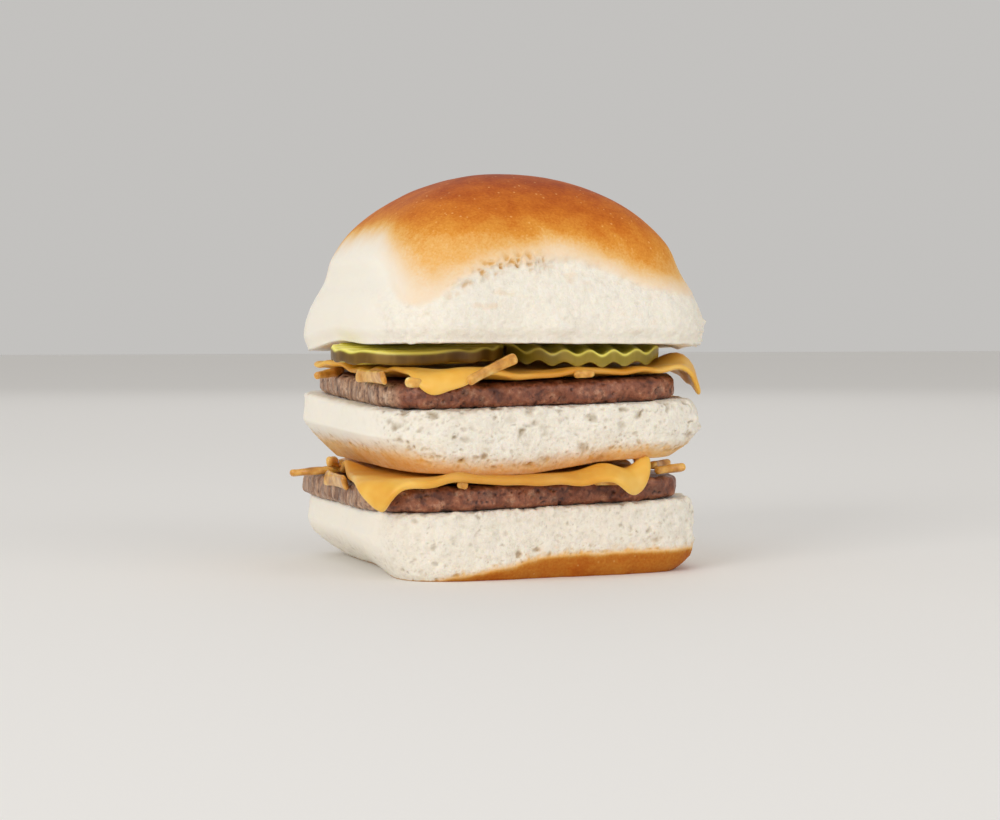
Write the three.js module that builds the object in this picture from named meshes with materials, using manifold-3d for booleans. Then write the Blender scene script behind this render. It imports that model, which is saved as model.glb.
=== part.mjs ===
// A double cheeseburger in a square, pull-apart slider bun, in millimetres, +Z up.
// The origin is the centre of the bottom bun's underside, and the bun's sides run along X and Y.
// From the bottom up: bottom bun, patty, cheese, middle slice of bun, patty, cheese, two crinkle-cut
// pickle chips and the domed top bun, with strips of onion between the patties and the cheese.
import * as THREE from 'three';
import { mergeVertices } from 'three/addons/utils/BufferGeometryUtils.js';
import Module from 'manifold-3d';

const wasm = await Module();
wasm.setup();

// Driving dimensions
const gap = 0.25; // between pieces that touch
const bunHalf = 34.3; // half the width of the square bun
const bunSquareness = 5.8; // exponent of its rounded square: 2 is a circle
const bunTop = 80;
const pickleDip = 3; // how far the pickles press into the top bun's underside
const lowerPattyHalf = 32.8;
const upperPattyHalf = 31.2;
const cheeseThickness = 1.6;
const pickleThickness = 2.5;
const ridgeSpacing = 4.8; // of the pickles' crinkle cut
const ridgeHeight = 0.6; // from its middle to a crest

// The centres of the layers, which don't stack quite straight
const bottomBunCentre = [0.3, 0.1];
const middleBunCentre = [0.45, 0.3];
const topBunCentre = [1, 0];
const lowerPattyCentre = [-1.8, 0.7];
const upperPattyCentre = [-0.4, 0.1];

// Heights of the faces between the layers. Each is a plane, as nothing stacks level.
const plane = (middle, alongX, alongY) => (x, y) => middle + alongX * x + alongY * y;
const bottomBunTop = plane(13.8, 0.024, 0.006);
const lowerPattyTop = plane(18.5, 0.018, 0.006);
const middleBunRim = plane(22.1, 0.038, 0.016);
const middleBunTop = plane(34.3, 0.024, 0.039);
const upperPattyTop = plane(39.0, 0.024, 0.039);
const topBunRim = plane(44.1, -0.006, -0.032);

const mix = THREE.MathUtils.lerp;
// From 0 at one value to 1 at another, which may be the smaller.
const smooth = (zeroAt, oneAt, value) => {
  const t = THREE.MathUtils.clamp((value - zeroAt) / (oneAt - zeroAt), 0, 1);
  return t * t * (3 - 2 * t);
};
const bell = (distance, width) => Math.exp(-((distance / width) ** 2));

// Soft lumps of about the given size, between -1 and 1, the same on every run.
function lump(x, y, z, size) {
  const k = (2 * Math.PI) / size;
  return (
    Math.sin(k * x + 1.7 * Math.sin(0.6 * k * y + 0.5)) +
    Math.sin(1.1 * k * y + 1.3 * Math.sin(0.7 * k * z + 1.9)) +
    Math.sin(0.9 * k * z + 1.1 * Math.sin(0.8 * k * x + 2.6))
  ) / 3;
}

// Distance from the centre to a rounded square of half width 1, in the direction of an angle.
function squareReach(angle, squareness) {
  const c = Math.abs(Math.cos(angle)) ** squareness;
  const s = Math.abs(Math.sin(angle)) ** squareness;
  return (c + s) ** (-1 / squareness);
}

// How far (x, y) lies outside a rounded square, and the direction that leads straight out of it.
function outside(x, y, half, squareness) {
  const power = Math.abs(x) ** squareness + Math.abs(y) ** squareness;
  const reach = power ** (1 / squareness);
  const share = (v) => Math.sign(v) * (Math.abs(v) / reach) ** (squareness - 1);
  const slope = new THREE.Vector2(share(x), share(y));
  return { distance: (reach - half) / slope.length(), out: slope.normalize() };
}

// A closed surface from a pole at the bottom, through rings of points, to a pole at the top.
// place(ring, angle) gives a point, and the first and the last ring are the poles.
function closedSurface(rings, segments, place) {
  const points = [...place(rings[0], 0)];
  const faces = [];
  const middle = rings.slice(1, -1);
  for (const ring of middle) {
    for (let j = 0; j < segments; j++) points.push(...place(ring, (2 * Math.PI * j) / segments));
  }
  points.push(...place(rings.at(-1), 0));
  const at = (i, j) => 1 + i * segments + (j % segments);
  const top = 1 + middle.length * segments;
  for (let j = 0; j < segments; j++) {
    faces.push(0, at(0, j + 1), at(0, j), top, at(middle.length - 1, j), at(middle.length - 1, j + 1));
    for (let i = 0; i < middle.length - 1; i++) {
      faces.push(at(i, j), at(i, j + 1), at(i + 1, j + 1), at(i, j), at(i + 1, j + 1), at(i + 1, j));
    }
  }
  const geometry = new THREE.BufferGeometry();
  geometry.setAttribute('position', new THREE.Float32BufferAttribute(points, 3));
  geometry.setIndex(faces);
  return geometry;
}

function toManifold(geometry) {
  const bare = new THREE.BufferGeometry();
  bare.setAttribute('position', geometry.getAttribute('position'));
  if (geometry.index) bare.setIndex(geometry.index);
  const merged = mergeVertices(bare, 1e-4);
  return new wasm.Manifold(new wasm.Mesh({
    numProp: 3,
    vertProperties: merged.attributes.position.array,
    triVerts: new Uint32Array(merged.index.array),
  }));
}

function toGeometry(solid) {
  const mesh = solid.getMesh();
  const geometry = new THREE.BufferGeometry();
  geometry.setAttribute('position', new THREE.BufferAttribute(mesh.vertProperties, 3));
  geometry.setIndex(new THREE.BufferAttribute(mesh.triVerts, 1));
  return geometry;
}

const burger = new THREE.Group();

const finishes = {
  bread: new THREE.MeshStandardMaterial({ color: '#efe6d3', roughness: 0.9, metalness: 0 }),
  beef: new THREE.MeshStandardMaterial({ color: '#6f4a3a', roughness: 0.6, metalness: 0 }),
  cheese: new THREE.MeshStandardMaterial({ color: '#f2b23a', roughness: 0.4, metalness: 0 }),
  pickle: new THREE.MeshStandardMaterial({ color: '#8c8a2c', roughness: 0.3, metalness: 0 }),
  onion: new THREE.MeshStandardMaterial({ color: '#d9ab63', roughness: 0.35, metalness: 0 }),
};

function add(name, geometry, finish) {
  const mesh = new THREE.Mesh(geometry, finish);
  mesh.name = name;
  burger.add(mesh);
}

// Bread. The left side of the bun is smooth, and the other three are torn crumb with lumps.
const breadSegments = 72;

function tornRelief(x, y, z) {
  const smoothSide = smooth(-0.6, -0.95, x / bunHalf);
  const coarse = 0.45 * lump(x, y, z, 11) + 0.3 * lump(y + 7, x, z, 5.5);
  return coarse * mix(1, 0.35, smoothSide);
}

// A level slice of bun: each ring has its share of the half width and its height at (x, y), or
// is on the edge, z above the underside.
function breadSlice(rings, centre, half) {
  return closedSurface(rings, breadSegments, (ring, angle) => {
    let reach = (ring.share ?? 1) * half * squareReach(angle, bunSquareness);
    let x = reach * Math.cos(angle);
    let y = reach * Math.sin(angle);
    if (ring.edge) {
      reach += tornRelief(x, y, ring.z);
      [x, y] = ring.edge(ring.z, reach * Math.cos(angle), reach * Math.sin(angle));
    }
    x += centre[0];
    y += centre[1];
    return [x, y, ring.height(x, y)];
  });
}

// A slice's lower edge rounds up from its underside, most of all at the left. Each side has how
// far it is set in at the bottom, as a share of the half width, the height at which it is full
// and the power of the curve between them. The left is set in less by nearLeft at the front.
const roundedEdge = ({ left, right, front, back, nearLeft }) => (z, x, y) => {
  const share = ([inset, height, power]) => inset * Math.max(0, 1 - z / height) ** power;
  const near = x < 0 ? mix(nearLeft, 1, smooth(-34, 4, y)) : 1;
  return [x * (1 - near * share(x < 0 ? left : right)), y * (1 - share(y < 0 ? front : back))];
};
// The bottom bun stands on a flat patch.
const bottomBunEdge = roundedEdge({
  left: [0.26, 9, 1.75],
  nearLeft: 0.35,
  right: [0.12, 4.5, 1.75],
  front: [0.04, 3, 2],
  back: [0.12, 5, 1.75],
});
const bottomBunRings = [
  { share: 0, height: () => 0 },
  ...[0, 0.5, 1.3, 2.6, 4.4, 7, 10.4].map((z) => ({ edge: bottomBunEdge, z, height: () => z })),
  { share: 0.985, height: (x, y) => bottomBunTop(x, y) - 0.9 },
  { share: 0.95, height: bottomBunTop },
  { share: 0, height: bottomBunTop },
];
add('bottom_bun', breadSlice(bottomBunRings, bottomBunCentre, bunHalf - 0.3), finishes.bread);

// The middle slice hangs a little lower in its middle, where it rests on the cheese.
const middleBunBottom = (x, y) => lowerPattyTop(x, y) + 2 * gap + cheeseThickness + 0.05;
const middleBunEdge = roundedEdge({
  left: [0.18, 7.1, 1.15],
  nearLeft: 1,
  right: [0.18, 7, 1.6],
  front: [0.06, 4, 1.5],
  back: [0.15, 6, 1.6],
});
const middleBunRings = [
  { share: 0, height: middleBunBottom },
  { share: 0.5, height: middleBunBottom },
  { share: 0.72, height: (x, y) => mix(middleBunBottom(x, y), middleBunRim(x, y), 0.45) },
  ...[0, 0.9, 2.2, 3.9, 6.2, 8.8].map((z) => ({
    edge: middleBunEdge,
    z,
    height: (x, y) => Math.max(middleBunRim(x, y), middleBunBottom(x, y)) + z * 0.95,
  })),
  { share: 0.99, height: (x, y) => middleBunTop(x, y) - 0.9 },
  { share: 0.955, height: middleBunTop },
  { share: 0, height: middleBunTop },
];
add('middle_bun', breadSlice(middleBunRings, middleBunCentre, bunHalf + 0.6), finishes.bread);

// The top bun is a dome over a square. Its crust comes down in points at the four corners and
// arches over each side, where the torn crumb lies a little deeper than the crust.
const topBunHalf = bunHalf + 1.2;
const crustLow = 54.5; // at the corners
const crustArch = { front: 62.3, right: 62, back: 64, left: 66.5 };
const tornDepth = 0.5;

function crustEdge(angle) {
  const c = Math.cos(angle);
  const s = Math.sin(angle);
  const arch = c * c * (c > 0 ? crustArch.right : crustArch.left)
    + s * s * (s > 0 ? crustArch.back : crustArch.front);
  return mix(arch, crustLow, Math.abs(Math.sin(2 * angle)) ** 3.6);
}

function topBunUnderside(x, y, share) {
  const overPickle = 1.3 * bell(Math.hypot(x + 34, y - 1), 13);
  return topBunRim(x, y) + overPickle + pickleDip * (1 - smooth(0.66, 0.86, share));
}

function topBunPoint(ring, angle) {
  if (ring.under) {
    const reach = ring.share * topBunHalf * squareReach(angle, bunSquareness);
    const x = topBunCentre[0] + reach * Math.cos(angle);
    const y = topBunCentre[1] + reach * Math.sin(angle);
    return [x, y, topBunUnderside(x, y, ring.share)];
  }
  const rise = ring.rise;
  const tuck = 0.03 * smooth(0.09, 0, rise) + 0.046 * bell(rise - 0.42, 0.155);
  const dome = (1 - rise ** 2.4) ** 0.488 * (1 - tuck);
  let reach = dome * topBunHalf * squareReach(angle, bunSquareness - 3 * rise);
  const c = Math.cos(angle);
  const s = Math.sin(angle);
  const rim = topBunUnderside(reach * c, reach * s, 1);
  const z = mix(rim, bunTop, rise);
  const torn = smooth(0.8, -0.8, z - crustEdge(angle));
  reach += torn * (tornRelief(reach * c, reach * s, z) - tornDepth);
  reach += (1 - torn) * 0.25 * lump(reach * c, reach * s, z, 17) * smooth(1, 0.85, rise);
  return [topBunCentre[0] + reach * c, topBunCentre[1] + reach * s, z];
}

const topBunRings = [
  { under: true, share: 0 },
  { under: true, share: 0.66 },
  { under: true, share: 0.86 },
  { under: true, share: 0.955 },
  ...[0.025, 0.09, 0.17, 0.25, 0.33, 0.41, 0.5, 0.6, 0.7, 0.79, 0.87, 0.94, 0.985, 1]
    .map((rise) => ({ rise })),
];
add('top_bun', closedSurface(topBunRings, breadSegments, topBunPoint), finishes.bread);

// Patties: thin and flat, with a rough edge that bulges a little at half height.
const pattySegments = 68;

function patty(half, centre, bottom, top, seed) {
  const rings = [
    { share: 0, rise: 0 },
    { share: 0.955, rise: 0 },
    { share: 0.99, rise: 0.17 },
    { share: 1.003, rise: 0.5 },
    { share: 0.99, rise: 0.82 },
    { share: 0.955, rise: 1 },
    { share: 0, rise: 1 },
  ];
  return closedSurface(rings, pattySegments, (ring, angle) => {
    let reach = ring.share * half * squareReach(angle, bunSquareness);
    const c = Math.cos(angle);
    const s = Math.sin(angle);
    if (ring.share > 0.9) {
      reach += 0.35 * lump(reach * c + seed, reach * s, ring.rise * 5, 7);
      reach += 0.2 * lump(reach * s, reach * c + seed, ring.rise * 5, 3.2);
    }
    const x = centre[0] + reach * c;
    const y = centre[1] + reach * s;
    return [x, y, mix(bottom(x, y) + gap, top(x, y), ring.rise)];
  });
}

add('lower_patty', patty(lowerPattyHalf, lowerPattyCentre, bottomBunTop, lowerPattyTop, 0), finishes.beef);
add('upper_patty', patty(upperPattyHalf, upperPattyCentre, middleBunTop, upperPattyTop, 23), finishes.beef);

// Onion strips: short, curved sticks with blunt ends. Each goes from one point to another, with
// a middle that bows sideways, and is wide along the way that it lies and thin across.
const onionStrips = {
  lower: [
    { from: [-29.5, 9.5, 19.35], to: [-40, 13, 18.3], bow: 0.4, width: 2, height: 1.5 },
    { from: [-35.3, 2.5, 18.0], to: [-35.9, -12.5, 17.9], bow: 0.2, width: 1.2, height: 3 },
    { from: [-31.6, 9, 20.4], to: [-35.2, 1.2, 21.3], bow: 0.5, width: 1.6, height: 2.3 },
    { from: [-21.4, -34.2, 18.6], to: [-17.6, -34.4, 18.2], bow: 0.2, width: 1.2, height: 1.9 },
    { from: [7.5, -34.1, 18.6], to: [13.6, -34.0, 18.3], bow: 0.3, width: 1.1, height: 1.6 },
    { from: [22.5, -30.2, 20.0], to: [29.6, -28.6, 20.4], bow: 0.5, width: 2, height: 1.7 },
    { from: [22.6, -28.4, 20.9], to: [28.4, -23.6, 21.1], bow: 0.5, width: 1.7, height: 1.5 },
    { from: [29.6, -6.0, 20.5], to: [34.6, 2.2, 20.2], bow: 0.7, width: 1.2, height: 2.4 },
    { from: [26.6, 24.0, 20.3], to: [32.2, 29.2, 20.1], bow: 0.5, width: 1.9, height: 1.6 },
    { from: [3.2, 30.8, 19.9], to: [12.4, 34.2, 19.9], bow: 0.7, width: 1.9, height: 1.6 },
    { from: [-18.4, 31.4, 19.5], to: [-9.2, 32.6, 19.6], bow: 0.6, width: 1.8, height: 1.5 },
  ],
  upper: [
    { from: [-29.8, 9.4, 39.7], to: [-37.2, 3.2, 38.5], bow: 0.4, width: 1.8, height: 1.6 },
    { from: [-33.5, -13.0, 38.9], to: [-32.8, -27.5, 38.6], bow: 0.4, width: 1.2, height: 2.6 },
    { from: [-30.2, -32.6, 38.0], to: [-27.2, -33.4, 37.6], bow: 0.2, width: 1.1, height: 2.0 },
    { from: [-19.4, -36.6, 38.0], to: [-9.2, -35.8, 42.5], bow: 0.5, width: 1.5, height: 2.0 },
    { from: [3.6, -33.4, 39.1], to: [7.8, -33.6, 39.3], bow: 0.2, width: 1.1, height: 1.4 },
    { from: [29.4, 16.5, 41.4], to: [30.8, 24.5, 41.7], bow: 0.6, width: 1.5, height: 1.5 },
    { from: [-12.4, 30.4, 41.15], to: [-4.0, 32.2, 41.25], bow: 0.6, width: 1.6, height: 1.7 },
    { from: [-25.2, 27.6, 40.65], to: [-19.8, 30.6, 40.9], bow: 0.4, width: 1.6, height: 1.6 },
  ],
};
const stripSides = 8;
const stripRings = [0, 0.04, 0.2, 0.5, 0.8, 0.96, 1];

function onionStrip({ from, to, bow, width, height }, extra = 0) {
  const start = new THREE.Vector3(...from);
  const along = new THREE.Vector3(...to).sub(start);
  const side = new THREE.Vector3(0, 0, 1).cross(along).normalize();
  const up = along.clone().cross(side).normalize();
  const rings = stripRings.map((share) => ({ share }));
  return closedSurface(rings, stripSides, (ring, angle) => {
    const full = 1 - 0.45 * Math.abs(2 * ring.share - 1) ** 8;
    const blunt = ring.share === 0 || ring.share === 1 ? 0 : full;
    const stretch = along.length() / (along.length() + 2 * extra);
    const point = start.clone().addScaledVector(along, 0.5 + (ring.share - 0.5) / stretch);
    point.addScaledVector(side, bow * Math.sin(Math.PI * ring.share));
    point.addScaledVector(side, blunt * (width / 2 + extra) * Math.cos(angle));
    point.addScaledVector(up, blunt * (height / 2 + extra) * Math.sin(angle));
    return point.toArray();
  });
}

for (const [layer, strips] of Object.entries(onionStrips)) {
  strips.forEach((strip, i) => {
    add(`${layer}_onion_${i + 1}`, onionStrip(strip), finishes.onion);
  });
}

// Cheese: a slice with four soft corners, each given by where it would lie if it were flat and
// by the angle at which it hangs once it is past the edge of the patty.
const cheeseSlices = {
  lower: {
    corners: [
      { at: [-39.6, -34], hang: 86, span: [0.84, 0.96] },
      { at: [19.4, -40.2], hang: 78, span: [0.85, 0.96] },
      { at: [32, 17], hang: 20, span: [0.58, 0.92] },
      { at: [-27, 29], hang: 15, span: [0.58, 0.92] },
    ],
    edgeHang: 20,
    flare: 0,
    half: lowerPattyHalf,
    centre: lowerPattyCentre,
    rest: lowerPattyTop,
    bumps: [
      { at: [-19.5, -33.5], rise: 0.9, width: 4 },
      { at: [10.5, -34], rise: 1.5, width: 5 },
      { at: [23.5, -33], rise: 2.2, width: 3 },
      { at: [-33.5, -3], rise: 2, width: 4 },
      { at: [28, -2], rise: 1.2, width: 8 },
    ],
  },
  upper: {
    corners: [
      { at: [-25.4, -37.4], hang: 82, span: [0.82, 0.95] },
      { at: [40.4, -28], hang: 72, span: [0.62, 0.9] },
      { at: [24, 35.6], hang: 45, span: [0.58, 0.92] },
      { at: [-35.6, 17.5], hang: 8, span: [0.58, 0.92] },
    ],
    edgeHang: 12,
    flare: 2.2,
    half: upperPattyHalf,
    centre: upperPattyCentre,
    rest: upperPattyTop,
    bumps: [
      { at: [31, -21], rise: 2.4, width: 4.5 },
      { at: [-15, -33], rise: 1.3, width: 5 },
      { at: [5.5, -32], rise: 0.7, width: 5 },
      { at: [-31, 6], rise: 1.1, width: 8 },
      { at: [-32, -18], rise: 0.9, width: 7 },
    ],
  },
};
const cheeseSegments = 60;
const cheeseSquareness = 12;
const bendLength = 3.2; // over which the cheese turns from flat to hanging

// The middle of a slice's thickness at (u, v), each from -1 to 1 across the slice.
function cheeseMiddle(slice, u, v) {
  const weights = [(1 - u) * (1 - v), (1 + u) * (1 - v), (1 + u) * (1 + v), (1 - u) * (1 + v)];
  // The near corner flares out on its left.
  let x = -slice.flare * bell(v + 0.76, 0.24) * smooth(-0.5, -1, u);
  let y = 0;
  let hang = 0;
  let cornerShare = 0;
  slice.corners.forEach((corner, i) => {
    const weight = weights[i] / 4;
    const near = smooth(...corner.span, weight);
    x += weight * corner.at[0];
    y += weight * corner.at[1];
    hang += near * corner.hang;
    cornerShare += near;
  });
  hang = THREE.MathUtils.degToRad(hang + (1 - cornerShare) * slice.edgeHang);
  const edge = outside(x - slice.centre[0], y - slice.centre[1], slice.half + 1, bunSquareness);
  const past = Math.max(0, edge.distance);
  const turned = Math.min(past, bendLength);
  const angle = (hang * turned) / bendLength;
  const radius = bendLength / Math.max(hang, 0.05);
  const straight = past - turned;
  const forward = radius * Math.sin(angle) + straight * Math.cos(angle);
  const drop = radius * (1 - Math.cos(angle)) + straight * Math.sin(angle);
  x += edge.out.x * (forward - past);
  y += edge.out.y * (forward - past);
  let z = slice.rest(x, y) + gap + cheeseThickness / 2 - drop;
  for (const bump of slice.bumps) {
    z += bump.rise * bell(Math.hypot(x - bump.at[0], y - bump.at[1]), bump.width);
  }
  return new THREE.Vector3(x, y, z);
}

function cheese(slice, strips) {
  const rings = [
    { share: 0, side: -1 },
    ...[0.3, 0.56, 0.76, 0.9].map((share) => ({ share, side: -1 })),
    { share: 0.985, side: -0.9 },
    { share: 1, side: 0 },
    { share: 0.985, side: 0.9 },
    ...[0.9, 0.76, 0.56, 0.3].map((share) => ({ share, side: 1 })),
    { share: 0, side: 1 },
  ];
  const tiny = 0.004;
  const geometry = closedSurface(rings, cheeseSegments, (ring, angle) => {
    const even = angle - 0.11 * Math.sin(4 * angle); // more points near the corners
    const reach = ring.share * squareReach(even, cheeseSquareness);
    const u = reach * Math.cos(even);
    const v = reach * Math.sin(even);
    const middle = cheeseMiddle(slice, u, v);
    const acrossU = cheeseMiddle(slice, u + tiny, v).sub(cheeseMiddle(slice, u - tiny, v));
    const acrossV = cheeseMiddle(slice, u, v + tiny).sub(cheeseMiddle(slice, u, v - tiny));
    const normal = acrossU.cross(acrossV).normalize();
    return middle.addScaledVector(normal, (ring.side * cheeseThickness) / 2).toArray();
  });
  let solid = toManifold(geometry);
  for (const strip of strips) solid = solid.subtract(toManifold(onionStrip(strip, gap)));
  const bodies = solid.decompose().sort((a, b) => b.volume() - a.volume());
  return toGeometry(bodies[0]);
}

add('lower_cheese', cheese(cheeseSlices.lower, onionStrips.lower), finishes.cheese);
add('upper_cheese', cheese(cheeseSlices.upper, onionStrips.upper), finishes.cheese);

// Pickle chips: a wavy sheet cut to a round slice. The ridges of one run across the other's.
const pickles = {
  left_pickle: { at: [-19.4, -8.3, 43.2], radius: 17.2, tilt: 4.2, lean: -32, ridges: 66 },
  right_pickle: { at: [12.2, -16.5, 43.5], radius: 15.6, tilt: 5.2, lean: -8, ridges: -16 },
};

function pickle({ at, radius, tilt, lean, ridges }) {
  const outline = new THREE.Shape();
  const steps = 60;
  const wave = (x) => ridgeHeight * Math.cos((2 * Math.PI * x) / ridgeSpacing);
  const spread = (i) => radius * 1.05 * ((2 * i) / steps - 1);
  outline.moveTo(spread(0), wave(spread(0)) - pickleThickness / 2);
  for (let i = 1; i <= steps; i++) {
    outline.lineTo(spread(i), wave(spread(i)) - pickleThickness / 2);
  }
  for (let i = steps; i >= 0; i--) {
    outline.lineTo(spread(i), wave(spread(i)) + pickleThickness / 2);
  }
  const sheet = new THREE.ExtrudeGeometry(outline, { depth: 2.2 * radius, bevelEnabled: false });
  sheet.translate(0, 0, -1.1 * radius).rotateX(Math.PI / 2);
  sheet.rotateZ(THREE.MathUtils.degToRad(ridges));
  const round = new THREE.CylinderGeometry(radius * 0.985, radius, 3 * pickleThickness, 44);
  round.rotateX(Math.PI / 2).scale(1, 0.97, 1);
  const chip = toGeometry(toManifold(sheet).intersect(toManifold(round)));
  // The chip leans down towards the way that lean gives, clockwise from -Y.
  const way = THREE.MathUtils.degToRad(lean);
  const axis = new THREE.Vector3(Math.cos(way), Math.sin(way), 0);
  chip.applyMatrix4(new THREE.Matrix4().makeRotationAxis(axis, THREE.MathUtils.degToRad(tilt)));
  return chip.translate(...at);
}

for (const [name, chip] of Object.entries(pickles)) add(name, pickle(chip), finishes.pickle);

export default burger;
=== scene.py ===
import math

import bpy
import numpy as np
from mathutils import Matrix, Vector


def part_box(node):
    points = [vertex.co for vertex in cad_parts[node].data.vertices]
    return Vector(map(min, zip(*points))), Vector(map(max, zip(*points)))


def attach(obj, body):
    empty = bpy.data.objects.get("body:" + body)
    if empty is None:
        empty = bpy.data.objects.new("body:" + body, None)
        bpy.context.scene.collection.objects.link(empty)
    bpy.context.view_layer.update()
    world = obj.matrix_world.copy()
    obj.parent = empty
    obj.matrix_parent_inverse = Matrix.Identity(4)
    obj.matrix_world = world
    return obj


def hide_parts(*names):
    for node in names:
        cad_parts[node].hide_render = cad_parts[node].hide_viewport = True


# A double cheeseburger in a square pull-apart bun. Every shape is worked out in millimetres in the
# frame's axes, from the same dimensions as the solids, and is written to its mesh in metres.
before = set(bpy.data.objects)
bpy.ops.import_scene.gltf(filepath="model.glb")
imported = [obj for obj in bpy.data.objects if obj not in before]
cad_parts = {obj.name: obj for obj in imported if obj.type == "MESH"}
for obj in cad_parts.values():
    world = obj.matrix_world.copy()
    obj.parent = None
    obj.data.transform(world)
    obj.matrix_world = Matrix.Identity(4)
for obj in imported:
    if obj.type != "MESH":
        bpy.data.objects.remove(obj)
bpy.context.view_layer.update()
millimetre = 0.001

stack = {
    "gap": 0.25,  # between layers that touch
    "bunHalf": 34.3,  # half of the bun's width
    "squareness": 5.8,  # exponent of the bun's rounded square: 2 is a circle
    "bunTop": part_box("top_bun")[1].z / millimetre - 0.4,  # a little flatter than the solid
    "pickleDip": 3,  # how far the pickles press into the top bun
    "cheeseThickness": 1.6,
    "pickleThickness": 2.5,
}


def mix(a, b, share):
    # a at 0, b at 1
    return a + (b - a) * share


def smooth(zeroAt, oneAt, value):
    # 3t² - 2t³, from 0 at one value to 1 at another, which may be the smaller
    t = np.clip((value - zeroAt) / (oneAt - zeroAt), 0, 1)
    return t * t * (3 - 2 * t)


def bell(distance, width):
    # e to the power of -(distance / width)²
    return np.exp(-((distance / width) ** 2))


def plane(middle, alongX, alongY):
    # A height that changes evenly along X and Y
    return lambda x, y: middle + alongX * x + alongY * y


bottomBunTop = plane(13.8, 0.024, 0.006)
lowerPattyTop = plane(18.5, 0.018, 0.006)
middleBunRim = plane(22.1, 0.038, 0.016)
middleBunTop = plane(34.3, 0.024, 0.039)
upperPattyTop = plane(39.0, 0.024, 0.039)
topBunRim = plane(44.1, -0.006, -0.032)


def lump(x, y, z, size):
    # Three sines across each other, each bent by a fourth: soft lumps from -1 to 1
    k = 2 * math.pi / size
    return (
        np.sin(k * x + 1.7 * np.sin(0.6 * k * y + 0.5))
        + np.sin(1.1 * k * y + 1.3 * np.sin(0.7 * k * z + 1.9))
        + np.sin(0.9 * k * z + 1.1 * np.sin(0.8 * k * x + 2.6))
    ) / 3


def scattered(i, j, k, seed):
    # Whole numbers to an even spread from 0 to 1: products with large odd numbers, mixed by shifts
    n = (i * 374761393 + j * 668265263 + k * 1440662683 + seed * 974634777) & 0xFFFFFFFF
    n = ((n ^ (n >> 13)) * 1274126177) & 0xFFFFFFFF
    return ((n ^ (n >> 16)) & 0xFFFFFF) / 0xFFFFFF


def grain(x, y, z, size, seed=0):
    # Random values at the corners of cubes of that size, blended across each cube: from -1 to 1
    whole = [np.floor(v / size).astype(np.int64) for v in (x, y, z)]
    part = [v / size - w for v, w in zip((x, y, z), whole)]
    part = [t * t * (3 - 2 * t) for t in part]
    total = 0
    for a in (0, 1):
        for b in (0, 1):
            for c in (0, 1):
                weight = 1
                for t, far in zip(part, (a, b, c)):
                    weight = weight * (t if far else 1 - t)
                total = total + weight * scattered(whole[0] + a, whole[1] + b, whole[2] + c, seed)
    return 2 * total - 1


def rough(x, y, z, size, octaves, seed=0):
    # Grain of that size plus finer grain, each half the size and half the height of the last
    total = 0
    for i in range(octaves):
        total = total + grain(x, y, z, size / 2**i, seed + 31 * i) / 2**i
    return total / (2 - 2 ** (1 - octaves))


def bubbles(x, y, z, spacing, smallest, largest, seed=0):
    # One ball per cube of that spacing, at a random place and of a random size. The depth inside
    # the nearest ball runs from 0 at its skin to 1 in its middle.
    whole = [np.floor(v / spacing).astype(np.int64) for v in (x, y, z)]
    deepest = np.zeros(np.broadcast(x, y, z).shape)
    for a in (-1, 0, 1):
        for b in (-1, 0, 1):
            for c in (-1, 0, 1):
                cube = [whole[0] + a, whole[1] + b, whole[2] + c]
                spot = [(w + scattered(*cube, seed + n)) * spacing for n, w in enumerate(cube)]
                size = mix(smallest, largest, scattered(*cube, seed + 3) ** 2.5) / 2
                far = (x - spot[0]) ** 2 + (y - spot[1]) ** 2 + (z - spot[2]) ** 2
                deepest = np.maximum(deepest, 1 - np.sqrt(far) / size)
    return deepest


def squareReach(angle, squareness):
    # (|cos|ⁿ + |sin|ⁿ) to the power of -1/n: the reach of a rounded square of half width 1
    c = np.abs(np.cos(angle)) ** squareness
    s = np.abs(np.sin(angle)) ** squareness
    return (c + s) ** (-1 / squareness)


def turn(columns):
    # The angles of a full turn, as one row
    return np.linspace(0, 2 * math.pi, columns, endpoint=False)[None, :]


def outward(grid):
    # Cross product of the steps round and up the grid, at unit length. A pole takes its neighbours'.
    around = np.roll(grid, -1, axis=1) - np.roll(grid, 1, axis=1)
    up = np.gradient(grid, axis=0)
    across = np.cross(around, up)
    across[0] = across[1].mean(axis=0)
    across[-1] = across[-2].mean(axis=0)
    return across / np.maximum(np.linalg.norm(across, axis=2, keepdims=True), 1e-9)


def raised(grid, height):
    # The surface moved out along its normals
    return grid + outward(grid) * height[..., None]


def addPiece(name, grid, node, slot, material, **marks):
    # Rings of points, with a pole at each end, closed round. Marks are numbers for the material.
    rings, columns = grid.shape[:2]
    middle = rings - 2
    points = np.concatenate([grid[0, :1], grid[1:-1].reshape(-1, 3), grid[-1, :1]]) * millimetre
    i, j = np.meshgrid(np.arange(middle - 1), np.arange(columns), indexing="ij")
    at = lambda ring, column: 1 + ring * columns + column % columns
    quads = np.stack([at(i, j), at(i, j + 1), at(i + 1, j + 1), at(i + 1, j)], -1).reshape(-1, 4)
    j = np.arange(columns)
    last = len(points) - 1
    under = np.stack([0 * j, at(0, j + 1), at(0, j)], -1)
    over = np.stack([0 * j + last, at(middle - 1, j), at(middle - 1, j + 1)], -1)
    mesh = bpy.data.meshes.new(name)
    mesh.from_pydata(points, [], quads.tolist() + under.tolist() + over.tolist())
    mesh.shade_smooth()
    for mark, values in marks.items():
        values = np.broadcast_to(values, grid.shape[:2])
        flat = np.concatenate([values[0, :1], values[1:-1].ravel(), values[-1, :1]])
        layer = mesh.attributes.new(mark, "FLOAT", "POINT")
        layer.data.foreach_set("value", flat.astype(np.float32))
    mesh.materials.append(material)
    piece = bpy.data.objects.new(name, mesh)
    bpy.context.scene.collection.objects.link(piece)
    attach(piece, "root")
    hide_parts(node)
    return piece


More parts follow.
